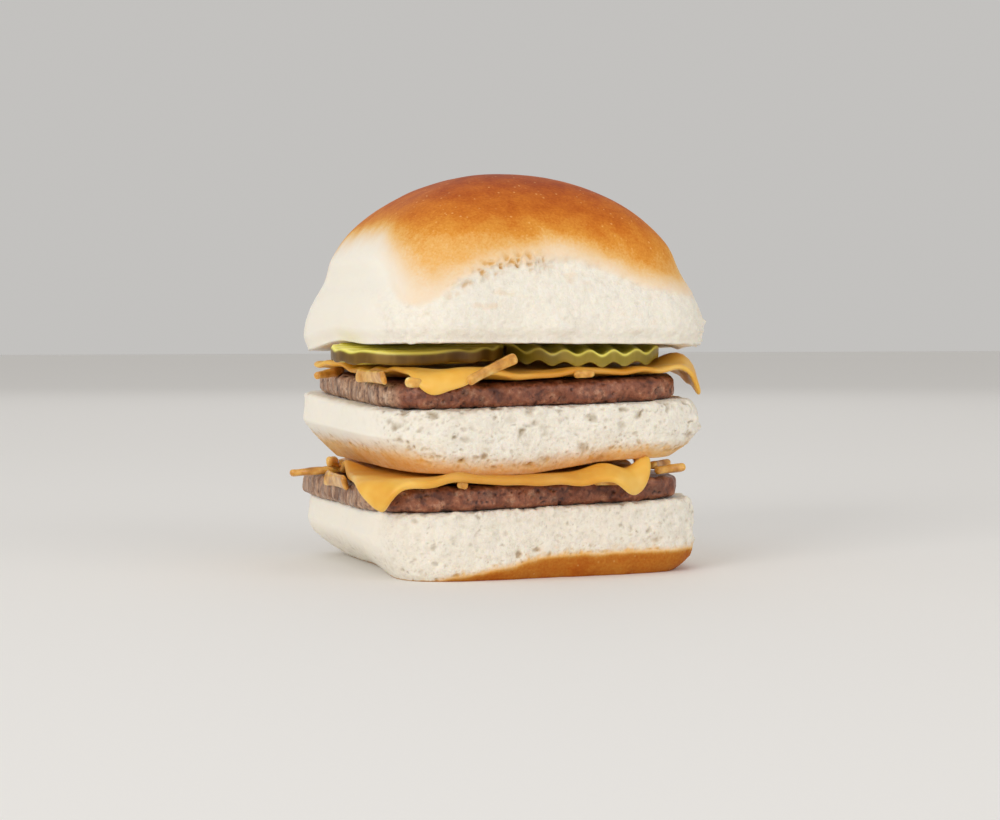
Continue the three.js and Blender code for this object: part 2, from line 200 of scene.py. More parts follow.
# Materials
def linear(colour):
    # An sRGB hex value as linear red, green, blue and alpha
    parts = [int(colour[i : i + 2], 16) / 255 for i in (1, 3, 5)]
    return tuple(p / 12.92 if p <= 0.04045 else ((p + 0.055) / 1.055) ** 2.4 for p in parts) + (1,)


def add(tree, kind, inputs=None, stops=None, **settings):
    # A node with its settings, its inputs as values or links, and a ramp's stops
    made = tree.nodes.new("ShaderNode" + kind)
    for key, value in settings.items():
        setattr(made, key, value)
    for socket, value in (inputs or {}).items():
        if isinstance(value, bpy.types.NodeSocket):
            tree.links.new(value, made.inputs[socket])
        else:
            made.inputs[socket].default_value = value
    if stops:
        ramp = made.color_ramp
        while len(ramp.elements) < len(stops):
            ramp.elements.new(1)
        for element, (place, colour) in zip(ramp.elements, stops):
            element.position = place
            element.color = linear(colour)
    return made


def setSockets(shader, values):
    # Numbers and colours that are the same all over, on the shader's own sockets
    for socket, value in values.items():
        shader.inputs[socket].default_value = value


def newMaterial(name):
    # A material with a Principled shader, its node tree and the object's own coordinates
    material = bpy.data.materials.new(name)
    material.use_nodes = True
    tree = material.node_tree
    place = add(tree, "TexCoord").outputs["Object"]
    return material, tree, tree.nodes["Principled BSDF"], place


def perMillimetre(size):
    # The scale that gives a noise of that size in millimetres
    return 1 / (size * millimetre)


def bakedBread():
    # Soft white bun: enriched dough baked in rows that touch, then pulled apart. The thin crust is
    # golden to brown with a faint egg-wash gloss, and the torn crumb is cream, matt and fluffy.
    material, tree, shader, place = newMaterial("baked_bun")
    bake = add(tree, "Attribute", attribute_name="bake").outputs["Fac"]
    pore = add(tree, "Attribute", attribute_name="pore").outputs["Fac"]
    torn = add(tree, "Attribute", attribute_name="torn").outputs["Fac"]
    patches = add(tree, "TexNoise", {"Vector": place, "Scale": perMillimetre(4.5), "Detail": 3})
    specks = add(tree, "TexNoise", {"Vector": place, "Scale": perMillimetre(0.55), "Detail": 4,
                                    "Roughness": 0.65})
    mottle = add(tree, "Math", {0: patches.outputs["Fac"], 1: specks.outputs["Fac"]}, operation="ADD")
    centred = add(tree, "Math", {0: mottle.outputs[0], 1: 1.0}, operation="SUBTRACT")
    crust = add(tree, "MapRange", {"Value": bake, "From Min": 0.06, "From Max": 0.4}).outputs[0]
    amount = add(tree, "Math", {0: crust, 1: 0.34}, operation="MULTIPLY")
    shift = add(tree, "Math", {0: centred.outputs[0], 1: amount.outputs[0]}, operation="MULTIPLY")
    browned = add(tree, "Math", {0: bake, 1: shift.outputs[0]}, operation="ADD")
    colour = add(tree, "ValToRGB", {"Fac": browned.outputs[0]}, stops=[
        (0.0, "#f6efe1"), (0.1, "#f2dfc6"), (0.22, "#efcc9c"), (0.36, "#eab468"), (0.5, "#e0963a"),
        (0.64, "#d07722"), (0.78, "#ba5b15"), (0.9, "#a1440d"), (1.0, "#8c3708"),
    ])
    # Pale pinpricks scattered over the crust, raised a little in the bump
    cells = add(tree, "TexVoronoi", {"Vector": place, "Scale": perMillimetre(1.1)})
    dot = add(tree, "MapRange", {"Value": cells.outputs["Distance"], "From Min": 0.26,
                                 "From Max": 0.14})
    few = add(tree, "SeparateColor", {"Color": cells.outputs["Color"]})
    some = add(tree, "MapRange", {"Value": few.outputs[0], "From Min": 0.7, "From Max": 0.86})
    blister = add(tree, "Math", {0: dot.outputs[0], 1: some.outputs[0]}, operation="MULTIPLY")
    onCrust = add(tree, "Math", {0: blister.outputs[0], 1: crust}, operation="MULTIPLY")
    faint = add(tree, "Math", {0: onCrust.outputs[0], 1: 0.5}, operation="MULTIPLY")
    dotted = add(tree, "Mix", {0: faint.outputs[0], 6: colour.outputs["Color"],
                               7: linear("#f3c377")}, data_type="RGBA")
    # Crumb: greyer where its threads lie deeper
    threads = add(tree, "TexNoise", {"Vector": place, "Scale": perMillimetre(1.3), "Detail": 5,
                                     "Roughness": 0.7})
    deeper = add(tree, "MapRange", {"Value": threads.outputs["Fac"], "From Min": 0.56,
                                    "From Max": 0.36, "To Max": 0.1})
    thread = add(tree, "Math", {0: deeper.outputs[0], 1: torn}, operation="MULTIPLY")
    hollow = add(tree, "Math", {0: pore, 1: thread.outputs[0]}, operation="ADD", use_clamp=True)
    # Painted shade, multiplied in as a grey-beige: in the crumb's bubbles and between its tufts,
    # inside the flakes and over the bottom bun's crust, together with the greyer threads
    shaded = add(tree, "Mix", {0: hollow.outputs[0], 6: dotted.outputs[2], 7: linear("#a8977f")},
                 data_type="RGBA", blend_type="MULTIPLY")
    tree.links.new(shaded.outputs[2], shader.inputs["Base Color"])
    roughness = add(tree, "MapRange", {"Value": crust, "To Min": 0.95, "To Max": 0.6})
    tree.links.new(roughness.outputs[0], shader.inputs["Roughness"])
    fluff = add(tree, "TexNoise", {"Vector": place, "Scale": perMillimetre(0.8), "Detail": 4,
                                   "Roughness": 0.7})
    wrinkle = add(tree, "TexNoise", {"Vector": place, "Scale": perMillimetre(0.8), "Detail": 3})
    height = add(tree, "Mix", {0: crust, 2: fluff.outputs["Fac"], 3: wrinkle.outputs["Fac"]})
    pimpled = add(tree, "Math", {0: height.outputs[0], 1: onCrust.outputs[0]}, operation="ADD")
    strength = add(tree, "MapRange", {"Value": torn, "To Min": 0.14, "To Max": 0.8})
    bump = add(tree, "Bump", {"Height": pimpled.outputs[0], "Strength": strength.outputs[0],
                              "Distance": 0.4 * millimetre})
    tree.links.new(bump.outputs[0], shader.inputs["Normal"])
    setSockets(shader, {"Subsurface Weight": 0.25, "Subsurface Radius": (1.0, 0.7, 0.4),
                        "Subsurface Scale": 0.6 * millimetre, "Specular IOR Level": 0.16,
                        "IOR": 1.4})
    return material


def griddledBeef():
    # Thin ground-beef patty, steamed and griddled: grey-brown with redder and darker grains, dark
    # pits between them, and a film of fat that shines softly.
    material, tree, shader, place = newMaterial("griddled_beef")
    pit = add(tree, "Attribute", attribute_name="pit").outputs["Fac"]
    grey = add(tree, "Attribute", attribute_name="grey").outputs["Fac"]
    grains = add(tree, "TexNoise", {"Vector": place, "Scale": perMillimetre(2.6), "Detail": 6,
                                    "Roughness": 0.68})
    meat = add(tree, "ValToRGB", {"Fac": grains.outputs["Fac"]}, stops=[
        (0.3, "#663520"), (0.44, "#854b32"), (0.56, "#a06548"), (0.7, "#c69a7c"),
    ])
    pale = add(tree, "ValToRGB", {"Fac": grains.outputs["Fac"]}, stops=[
        (0.3, "#8a6750"), (0.44, "#a98468"), (0.56, "#c4a184"), (0.7, "#e2c9b0"),
    ])
    toned = add(tree, "Mix", {0: grey, 6: meat.outputs["Color"], 7: pale.outputs["Color"]},
                data_type="RGBA")
    specks = add(tree, "TexNoise", {"Vector": place, "Scale": perMillimetre(0.9), "Detail": 3})
    speck = add(tree, "MapRange", {"Value": specks.outputs["Fac"], "From Min": 0.5,
                                   "From Max": 0.32, "To Max": 0.55})
    # Painted shade: the pit mark darkens the pits, the low grains and the dips between fibres towards
    # black-brown; the specks are darker at random
    hollow = add(tree, "Math", {0: pit, 1: speck.outputs[0]}, operation="ADD", use_clamp=True)
    dark = add(tree, "Mix", {0: hollow.outputs[0], 6: toned.outputs[2], 7: linear("#43221a")},
               data_type="RGBA")
    tree.links.new(dark.outputs[2], shader.inputs["Base Color"])
    wet = add(tree, "TexNoise", {"Vector": place, "Scale": perMillimetre(5), "Detail": 2})
    roughness = add(tree, "MapRange", {"Value": wet.outputs["Fac"], "From Min": 0.35,
                                       "From Max": 0.65, "To Min": 0.36, "To Max": 0.62})
    tree.links.new(roughness.outputs[0], shader.inputs["Roughness"])
    fine = add(tree, "TexNoise", {"Vector": place, "Scale": perMillimetre(0.6), "Detail": 4,
                                  "Roughness": 0.6})
    bump = add(tree, "Bump", {"Height": fine.outputs["Fac"], "Strength": 0.6,
                              "Distance": 0.25 * millimetre})
    tree.links.new(bump.outputs[0], shader.inputs["Normal"])
    setSockets(shader, {"Subsurface Weight": 0.12, "Subsurface Radius": (1.0, 0.4, 0.25),
                        "Subsurface Scale": 0.8 * millimetre, "Coat Weight": 0.2,
                        "Coat Roughness": 0.28, "IOR": 1.42})
    return material


def meltedCheese():
    # Processed cheddar slice, softened by the heat of the patty: smooth, satin and a little
    # translucent, so that thin edges glow.
    material, tree, shader, place = newMaterial("melted_cheese")
    cloudy = add(tree, "TexNoise", {"Vector": place, "Scale": perMillimetre(9), "Detail": 3})
    colour = add(tree, "ValToRGB", {"Fac": cloudy.outputs["Fac"]}, stops=[
        (0.35, "#e6a634"), (0.5, "#eeb94c"), (0.66, "#f5ca6c"),
    ])
    # Painted shade: a deeper orange away from the corners, where the bun above shades the sheet
    deep = add(tree, "Attribute", attribute_name="deep").outputs["Fac"]
    share = add(tree, "Math", {0: deep, 1: 0.65}, operation="MULTIPLY")
    soaked = add(tree, "Mix", {0: share.outputs[0], 6: colour.outputs["Color"],
                               7: linear("#c98422")}, data_type="RGBA")
    tree.links.new(soaked.outputs[2], shader.inputs["Base Color"])
    film = add(tree, "TexNoise", {"Vector": place, "Scale": perMillimetre(2.5), "Detail": 3})
    roughness = add(tree, "MapRange", {"Value": film.outputs["Fac"], "To Min": 0.34,
                                       "To Max": 0.5})
    tree.links.new(roughness.outputs[0], shader.inputs["Roughness"])
    bump = add(tree, "Bump", {"Height": film.outputs["Fac"], "Strength": 0.12,
                              "Distance": 0.3 * millimetre})
    tree.links.new(bump.outputs[0], shader.inputs["Normal"])
    setSockets(shader, {"Subsurface Weight": 0.4, "Subsurface Radius": (1.0, 0.7, 0.25),
                        "Subsurface Scale": 1.1 * millimetre, "IOR": 1.45})
    return material


def brinedPickle():
    # Crinkle-cut dill pickle: wet, translucent yellow-green flesh inside a darker olive skin.
    material, tree, shader, place = newMaterial("brined_pickle")
    skin = add(tree, "Attribute", attribute_name="skin").outputs["Fac"]
    crest = add(tree, "Attribute", attribute_name="crest").outputs["Fac"]
    upright = add(tree, "Mapping", {"Vector": place, "Scale": (1, 1, 0.3)}).outputs[0]
    veins = add(tree, "TexNoise", {"Vector": upright, "Scale": perMillimetre(4.5), "Detail": 3})
    flesh = add(tree, "ValToRGB", {"Fac": veins.outputs["Fac"]}, stops=[
        (0.32, "#ccc034"), (0.5, "#ddd24a"), (0.68, "#eae062"),
    ])
    rind = add(tree, "ValToRGB", {"Fac": veins.outputs["Fac"]}, stops=[
        (0.3, "#553a06"), (0.5, "#6f5010"), (0.7, "#8e6d2a"),
    ])
    # Painted highlight: a pale yellow on the wave's tops and the cut's upper edge
    bright = add(tree, "Mix", {0: crest, 6: flesh.outputs["Color"], 7: linear("#fbf07a")},
                 data_type="RGBA")
    toned = add(tree, "Mix", {0: skin, 6: bright.outputs[2], 7: rind.outputs["Color"]},
                data_type="RGBA")
    tree.links.new(toned.outputs[2], shader.inputs["Base Color"])
    bump = add(tree, "Bump", {"Height": veins.outputs["Fac"], "Strength": 0.3,
                              "Distance": 0.5 * millimetre})
    tree.links.new(bump.outputs[0], shader.inputs["Normal"])
    setSockets(shader, {"Roughness": 0.32, "Subsurface Weight": 0.5,
                        "Subsurface Radius": (0.8, 0.8, 0.2), "Subsurface Scale": 2 * millimetre,
                        "Coat Weight": 0.06, "Coat Roughness": 0.1, "IOR": 1.36})
    return material


def steamedOnion():
    # Onion steamed on the griddle: limp, glassy and stained tan by the meat's juices.
    material, tree, shader, place = newMaterial("steamed_onion")
    layers = add(tree, "TexNoise", {"Vector": place, "Scale": perMillimetre(2.4), "Detail": 4})
    colour = add(tree, "ValToRGB", {"Fac": layers.outputs["Fac"]}, stops=[
        (0.3, "#ab7428"), (0.45, "#cf9540"), (0.6, "#e5b45e"), (0.75, "#f3d592"),
    ])
    tree.links.new(colour.outputs["Color"], shader.inputs["Base Color"])
    bump = add(tree, "Bump", {"Height": layers.outputs["Fac"], "Strength": 0.3,
                              "Distance": 0.3 * millimetre})
    tree.links.new(bump.outputs[0], shader.inputs["Normal"])
    setSockets(shader, {"Roughness": 0.28, "Subsurface Weight": 0.6,
                        "Subsurface Radius": (1.0, 0.7, 0.35), "Subsurface Scale": 1.5 * millimetre,
                        "Coat Weight": 0.3, "Coat Roughness": 0.15, "IOR": 1.38})
    return material


bread = bakedBread()
beef = griddledBeef()
cheese = meltedCheese()
pickle = brinedPickle()
onion = steamedOnion()
print("materials made")


# Bread. The left side of the bun is smooth, and the other three are torn crumb.
crumbLumps = {
    "broad": (0.55, 10),  # height and size
    "small": (0.35, 4),
    "onSmoothSide": 0.3,  # share that is left there
    "threads": (1.3, 1.9),
    "fray": (0.5, 1.3),
    "tuft": 1.3,  # size alone, from here on
    "clump": 4,
    "wrinkle": 3,  # on the smooth crust
}


def tornRelief(x, y, z):
    # Soft lumps of two sizes, fainter on the smooth side
    smoothSide = smooth(-0.6, -0.95, x / stack["bunHalf"])
    broadHeight, broadSize = crumbLumps["broad"]
    smallHeight, smallSize = crumbLumps["small"]
    coarse = broadHeight * rough(x, y, z, broadSize, 2, 17)
    coarse = coarse + smallHeight * rough(x, y, z, smallSize, 2, 29)
    return coarse * mix(1, crumbLumps["onSmoothSide"], smoothSide)


def tornThreads(x, y, z, low, high):
    # The near right-hand corner between two heights: threads of crumb that were pulled out
    height, size = crumbLumps["threads"]
    corner = smooth(27, 32, x) * smooth(-4, -20, y)
    band = smooth(low - 1, low + 1, z) * smooth(high + 1, high - 1, z)
    return height * corner * band * rough(x, y, z, size, 3, 63)


def sliceGrid(bun):
    # Rings from the underside's middle out to its rim, up the side, over the top edge by a quarter
    # circle, and in to the middle of the top. Share is the reach, climb the way up the side.
    columns = bun["columns"]
    angle = turn(columns)
    c, s = np.cos(angle), np.sin(angle)
    edgeRadius = bun["edgeRadius"] + bun["rounderRight"] * smooth(0.4, 0.9, c)
    under, side, edge, over = bun["rows"]
    evenly = 0.6  # power that spreads the rings of a flat face evenly
    share = [*(np.linspace(0, 1, under, endpoint=False) ** evenly), *[1] * (side + edge),
             *np.linspace(1, 0, over + 1)[1:] ** evenly]
    climb = [*[0] * under, *np.linspace(0, 1, side), *[1] * (edge + over)]
    roll = [*[0] * (under + side), *np.linspace(0, math.pi / 2, edge + 1)[1:],
            *[math.pi / 2] * over]
    share, climb, roll = (np.array(v, float)[:, None] for v in (share, climb, roll))
    square = squareReach(angle, stack["squareness"])
    fullHeight = bun["top"](0, 0) - bun["under"](0, 0, 1)
    z = climb * (fullHeight - edgeRadius)
    reach = bun["half"] * square
    outer = reach + tornRelief(reach * c, reach * s, z)
    leanIn = 0.012 * smooth(0.55, 1, climb)
    outer = outer * (1 - leanIn) - edgeRadius * (1 - np.cos(roll))
    reach = share * outer
    x, y = reach * c, reach * s
    inset = {name: most * np.maximum(0, 1 - z / high) ** power
             for name, (most, high, power) in bun["roundedEdge"].items()}
    near = mix(bun["nearLeft"], 1, smooth(-34, 4, y))
    x = x * (1 - np.where(x < 0, near * inset["left"], inset["right"])) + bun["centre"][0]
    y = y * (1 - np.where(y < 0, inset["front"], inset["back"])) + bun["centre"][1]
    floor = bun["under"](x, y, share)
    z = mix(floor, bun["top"](x, y) - edgeRadius, climb) + edgeRadius * np.sin(roll)
    return np.stack([x, y, z], -1), share, climb, roll


def crumb(grid, bun, torn, crust):
    # Torn crumb stands up in fluff and goes in at bubbles of three sizes, whose outlines are bent
    # by grain. Returns the height of the relief and the painted shade in the bubbles and between the
    # tufts.
    x, y, z = np.moveaxis(grid, -1, 0)
    relief = bun["relief"]
    tuft = rough(x, y, z, crumbLumps["tuft"], 3, 5)
    fluff = relief["fluff"] * (tuft + 0.7 * rough(x, y, z, crumbLumps["clump"], 2, 9))
    bent = [v * stretch + 0.5 * grain(x, y, z, 1.9, 60 + n) + 0.35 * grain(x, y, z, 0.9, 70 + n)
            for n, (v, stretch) in enumerate(zip((x, y, z), (0.85, 0.85, 1.1)))]
    spacing, largest = relief["spacing"], relief["largest"]
    large = smooth(0, 0.75, bubbles(*bent, spacing, 0.3, largest, 11))
    middling = smooth(0, 0.75, bubbles(*bent, spacing * 0.55, 0.2, largest * 0.55, 47))
    small = smooth(0, 0.7, bubbles(*bent, spacing * 0.32, 0.2, largest * 0.34, 83))
    openness = mix(0.4, 1, smooth(-0.4, 0.4, rough(x, y, z, 2.6, 2, 77)))
    depth = (large + 0.5 * middling + 0.3 * small) * openness
    height = torn * (fluff - relief["depth"] * depth)
    wrinkles = 0.05 * rough(x, y, z, crumbLumps["wrinkle"], 2, 15)
    height = height + (1 - torn) * (wrinkles + 0.03 * crust)
    dark = (large + 0.6 * middling + 0.5 * small) * openness
    valley = smooth(0.1, -0.9, tuft)  # painted shade between the tufts
    shade = torn * np.clip(relief["shade"] * dark + relief["hollow"] * valley, 0, 1)
    return height, shade


def leftness(x, y, half):
    # 1 on the smooth left face, 0 past its corners
    return smooth(-0.93, -0.985, x / half) * smooth(1.0, 0.93, np.abs(y) / half)


bottomBun = {
    "centre": (0.3, 0.1),
    "half": stack["bunHalf"] - 0.3,
    "top": bottomBunTop,
    "under": lambda x, y, share: 0 * x,
    # How far each side's foot is set in, as a share of the half width, up to what height, and
    # the power of the curve between
    "roundedEdge": {"left": (0.26, 9, 1.75), "right": (0.12, 4.5, 1.75),
                    "front": (0.04, 3, 2), "back": (0.12, 5, 1.75)},
    "nearLeft": 0.35,  # share of the left's that is kept at the front
    "threads": (3, 13),  # heights between which crumb was pulled out
    "crustShade": 0.5,  # painted shade over its lower crust
    "edgeRadius": 0.9,
    "rounderRight": 0.6,
    "columns": 1100,
    "rows": (12, 56, 5, 9),  # underside, side, edge and top
    "relief": {"fluff": 0.24, "spacing": 1.7, "largest": 1.9, "depth": 0.3, "shade": 0.5,
               "hollow": 0.13},
}
middleBun = {
    "centre": (0.45, 0.3),
    "half": stack["bunHalf"] + 0.6,
    "top": middleBunTop,
    "roundedEdge": {"left": (0.18, 7.1, 1.15), "right": (0.18, 7, 1.6),
                    "front": (0.06, 4, 1.5), "back": (0.15, 6, 1.6)},
    "nearLeft": 1,
    "threads": (24, 31),
    "crustShade": 0,
    "edgeRadius": 1.1,
    "rounderRight": 2.2,
    "columns": 1100,
    "rows": (13, 54, 5, 9),
    "relief": {"fluff": 0.22, "spacing": 2.2, "largest": 2.9, "depth": 0.45, "shade": 0.75,
               "hollow": 0.16},
}


def middleBunUnder(x, y, share):
    # The middle rests on the cheese, and the rim rises clear of it
    resting = lowerPattyTop(x, y) + 2 * stack["gap"] + stack["cheeseThickness"]
    lift, droop = 0.4 * bell(x - 14, 9), 1.3 * bell(x + 8, 12)
    sag = smooth(-12, -32, y) * (lift - droop)
    rim = np.maximum(middleBunRim(x, y) + sag, resting - 0.2)
    return mix(resting, rim, smooth(0.5, 1, share))


middleBun["under"] = middleBunUnder


def bakeSlice(bun, bandHeight, strength, fade):
    # Brown below a band's height above the rim, fading upwards, with a wavering edge
    grid, share, climb, roll = sliceGrid(bun)
    x, y, z = np.moveaxis(grid, -1, 0)
    above = z - bun["under"](x, y, 1)
    band = bandHeight(x, y) + 0.5 * rough(x, y, z, 6, 3, 21)
    bake = strength * smooth(fade, 0, above - band) ** 1.6
    bake = np.where(roll > 0, 0, bake)
    bake = np.where(climb == 0, strength, bake)
    left = leftness(x - bun["centre"][0], y - bun["centre"][1], bun["half"])
    torn = (1 - 0.93 * left) * smooth(0.4, 0.12, bake)
    height, shade = crumb(grid, bun, torn, bake)
    frayed = smooth(2.5, 0.3, bun["top"](x, y) - z) * smooth(0.9, 1, share) * (1 - 0.8 * left)
    frayHeight, fraySize = crumbLumps["fray"]
    height = height + frayHeight * frayed * rough(x, y, z, fraySize, 3, 58)
    height = height + tornThreads(x, y, z, *bun["threads"])
    # Bubbles near the crust are browned inside, and golden crumbs lie along its edge
    toasted = 0.3 * shade * smooth(6, 0.5, above - band)
    loose = smooth(0.15, 0.6, rough(x, y, z, 1.0, 2, 19))
    crumbs = 0.2 * loose * smooth(4.5, 0, above - band)
    # Painted shade over the crust, as strong as the bun's share
    shade = shade + bun["crustShade"] * smooth(0.25, 0.5, bake)
    bake = bake + (toasted + crumbs) * torn
    return raised(grid, height), {"bake": bake, "pore": shade, "torn": torn}


def middleBand(x, y):
    # Low at the front, higher towards the left and the right
    return 0.4 + 2.1 * smooth(-20, -33, x) + 0.9 * smooth(26, 34, x)


def bottomBand(x, y):
    # None at the front's left end, rising to the right, and even at the back
    front = mix(-0.6, 3.4, smooth(-24, 3, x))
    hidden = smooth(-20, 0, y) * smooth(-25, -10, x)
    return mix(front, 3.0, hidden) - 3 * smooth(-20, -30, x)


grid, marks = bakeSlice(bottomBun, bottomBand, strength=0.6, fade=2.8)
addPiece("bottom_bun_baked", grid, "bottom_bun", "bread", bread, **marks)
print("bottom bun made")

grid, marks = bakeSlice(middleBun, middleBand, strength=0.31, fade=4.2)
addPiece("middle_bun_baked", grid, "middle_bun", "bread", bread, **marks)
print("middle bun made")

topBun = {
    "centre": (1, 0),
    "half": stack["bunHalf"] + 1.2,
    # The height of the crust's edge in each direction, in degrees from +X
    "crustEdge": {0: 61.4, 22: 60, 36: 56, 46: 53.6, 57: 56.4, 78: 62, 95: 63.2, 112: 61,
                  126: 55, 134: 51.6, 141: 55.5, 148: 61, 156: 64.4, 194: 65.6, 205: 65, 211: 62.4,
                  217: 58.6, 222: 55, 227: 52.8, 230: 52.2, 234: 54.6, 239: 58.2, 244: 59.7,
                  250: 60, 260: 61.3, 276: 61.8, 286: 60.2, 297: 56.8, 306: 55, 318: 54.2,
                  330: 56.4, 345: 60.4},
    # Flakes of crust along the torn arc, as a share in each direction
    "flaky": {0: 0.2, 40: 0, 60: 0.9, 85: 0.8, 100: 0.1, 234: 0, 238: 1, 262: 1, 268: 0.15, 345: 0},
    # How brown the crust is at each height, and on the golden sides. Towards the right it is browner:
    # partly the crust's own browning, partly painted shade on the side away from the key light.
    "browning": {52: 0.16, 57: 0.33, 61: 0.45, 65: 0.56, 69: 0.66, 74: 0.77, 80: 0.92},
    "gold": {52: 0.18, 57: 0.25, 61: 0.34, 65: 0.45, 69: 0.6, 74: 0.76, 80: 0.92},
    "goldenSides": {20: 0, 60: 0.6, 150: 1, 265: 1, 300: 0},  # share in each direction
    "threads": (43, 50),
    "tornDepth": 0.5,
    "domePower": 2.4,
    "domeRoundness": 0.488,
    "tuck": 0.046,  # how far the dome's side is drawn in, as a share
    "rimTuck": 0.03,
    "columns": 760,
    "underRows": 12,
    "fineRows": 72,  # over the torn sides
    "coarseRows": 40,  # over the crust
    "fineBelow": 0.56,  # share of the rise
    "relief": {"fluff": 0.24, "spacing": 2.4, "largest": 2.0, "depth": 0.25, "shade": 0.2,
               "hollow": 0.04},
}


def between(value, table, period=None):
    # Straight from each of a table's entries to the next
    return np.interp(value, [*table], [*table.values()], period=period)


def crustEdge(angle):
    # Straight between the given directions, averaged over a few degrees to round the corners off
    steps = [-3, -1.5, 0, 1.5, 3]
    edge = topBun["crustEdge"]
    return sum(between(np.degrees(angle) + step, edge, 360) for step in steps) / len(steps)


def topBunUnder(x, y, share):
    # The rim, lifted over the left pickle, and pressed in by the pickles in the middle
    overPickle = 1.3 * bell(np.hypot(x + 34, y - 1), 13)
    return topBunRim(x, y) + overPickle + stack["pickleDip"] * (1 - smooth(0.66, 0.86, share))


def topBunGrid():
    # The underside's rings, then rings up the dome: reach is (1 - rise^domePower)^domeRoundness of
    # the half width, over a rounded square that turns rounder as it rises
    angle = turn(topBun["columns"])
    c, s = np.cos(angle), np.sin(angle)
    half, squareness = topBun["half"], stack["squareness"]
    share = (np.linspace(0, 1, topBun["underRows"], endpoint=False) ** 0.6)[:, None]
    reach = share * 0.985 * half * squareReach(angle, squareness)
    x, y = reach * c + topBun["centre"][0], reach * s + topBun["centre"][1]
    below = np.stack([x, y, topBunUnder(x, y, share)], -1)
    fine = np.linspace(0, topBun["fineBelow"], topBun["fineRows"], endpoint=False)
    rest = np.linspace(1, 0, topBun["coarseRows"])
    coarse = 1 - (1 - topBun["fineBelow"]) * rest**1.9
    rise = np.array([*fine, *coarse])[:, None]
    tuck = topBun["rimTuck"] * smooth(0.09, 0, rise) + topBun["tuck"] * bell(rise - 0.42, 0.155)
    dome = np.maximum(1 - rise ** topBun["domePower"], 0) ** topBun["domeRoundness"] * (1 - tuck)
    reach = dome * half * squareReach(angle, squareness - 3 * rise)
    z = mix(topBunUnder(reach * c, reach * s, 1), stack["bunTop"], rise)
    wander = 1.1 * rough(reach * c, reach * s, z, 6, 4, 41)
    aboveCrust = z - crustEdge(angle) + wander
    torn = smooth(0.8, -0.8, aboveCrust)
    step = topBun["tornDepth"] * (1 - smooth(-14, -24, reach * c))  # the left's edge is soft
    reach = reach + torn * (tornRelief(reach * c, reach * s, z) - step)
    shoulder = bell(z - 61.5, 2.2) - 0.6 * bell(z - 57, 2.2)
    reach = reach + 0.9 * smooth(-0.75, -0.95, c) * shoulder
    reach = reach + (1 - torn) * 0.25 * lump(reach * c, reach * s, z, 17) * smooth(1, 0.85, rise)
    side = np.stack([topBun["centre"][0] + reach * c, topBun["centre"][1] + reach * s, z], -1)
    flat = np.zeros_like(below[..., 0])
    return (np.concatenate([below, side]), np.concatenate([flat - 9, aboveCrust]),
            np.concatenate([flat + 0.5, torn]))


def bakeTopBun():
    # Brown by height and direction, fading to peach at the crust's edge, with flakes along it
    grid, aboveCrust, torn = topBunGrid()
    x, y, z = np.moveaxis(grid, -1, 0)
    left = leftness(x - topBun["centre"][0], y, topBun["half"])
    left = np.clip(left + smooth(-24, -30, x) * smooth(50, 58, z), 0, 1)
    angle = np.degrees(np.arctan2(y, x - topBun["centre"][0])) % 360
    # Paler golden crust on the left, the back and the near side, browner towards the right: partly
    # its own browning, partly painted shade
    golden = between(angle, topBun["goldenSides"], 360)
    browning = mix(between(z, topBun["browning"]), between(z, topBun["gold"]), golden)
    flaky = between(angle, topBun["flaky"], 360)
    # The fade is longer on the left, and longest over the near corner's tongue
    fade = mix(mix(6, 5, flaky), 8, left) + 4 * bell(angle - 220, 9)
    above = aboveCrust + 1.6 * left
    bake = mix(mix(0.13, 0.03, left), browning, smooth(0, 1, above / fade)) * smooth(-1.2, 1, above)
    torn = torn * (1 - 0.93 * left)
    height, shade = crumb(grid, topBun, torn, bake)
    # Flakes: curled crumbs of crust, each a raised ring that is browned inside, with painted shade
    # inside it too
    bent = [v + 0.7 * grain(x, y, z, 1.2, 90 + n) for n, v in enumerate((x, y, z))]
    curl = bubbles(*bent, 1.6, 1.8, 3.0, 33)
    flakes = flaky * bell(aboveCrust + 0.4, 1.7)
    ring, inside = bell(curl - 0.22, 0.15), smooth(0.25, 0.7, curl)
    tints = smooth(0.25, 0.65, rough(0.6 * x, 0.6 * y, 1.3 * z, 2, 3, 12)) * smooth(46, 49, z) * torn
    bake = bake + flakes * (0.08 * ring + 0.28 * inside) + 0.06 * tints
    shade = shade + 0.4 * flakes * inside
    height = height + flakes * (0.5 * ring - 0.1 * inside)
    # The rim frays where the crust comes down low
    frayed = smooth(3, 0.3, z - topBunRim(x, y)) * (aboveCrust > -9) * (1 - 0.8 * left)
    height = height + 0.6 * frayed * rough(x, y, z, 1.2, 3, 58)
    height = height + tornThreads(x, y, z, *topBun["threads"])
    return raised(grid, height), {"bake": bake, "pore": shade, "torn": torn}


grid, marks = bakeTopBun()
addPiece("top_bun_baked", grid, "top_bun", "bread", bread, **marks)
print("top bun made")


# Patties
patties = {
    "lower": {"half": 32.8, "centre": (-1.8, 0.7), "bottom": bottomBunTop, "top": lowerPattyTop,
              "seed": 0},
    "upper": {"half": 31.2, "centre": (-0.4, 0.1), "bottom": middleBunTop, "top": upperPattyTop,
              "seed": 23},
}
pattyBulge = 0.034  # share by which the side stands out from its edges
pattyLumps = ((0.5, 8), (0.3, 3))  # height and size, along the rim
pattyRows = {"face": 9, "side": 26}
pattyColumns = 1200


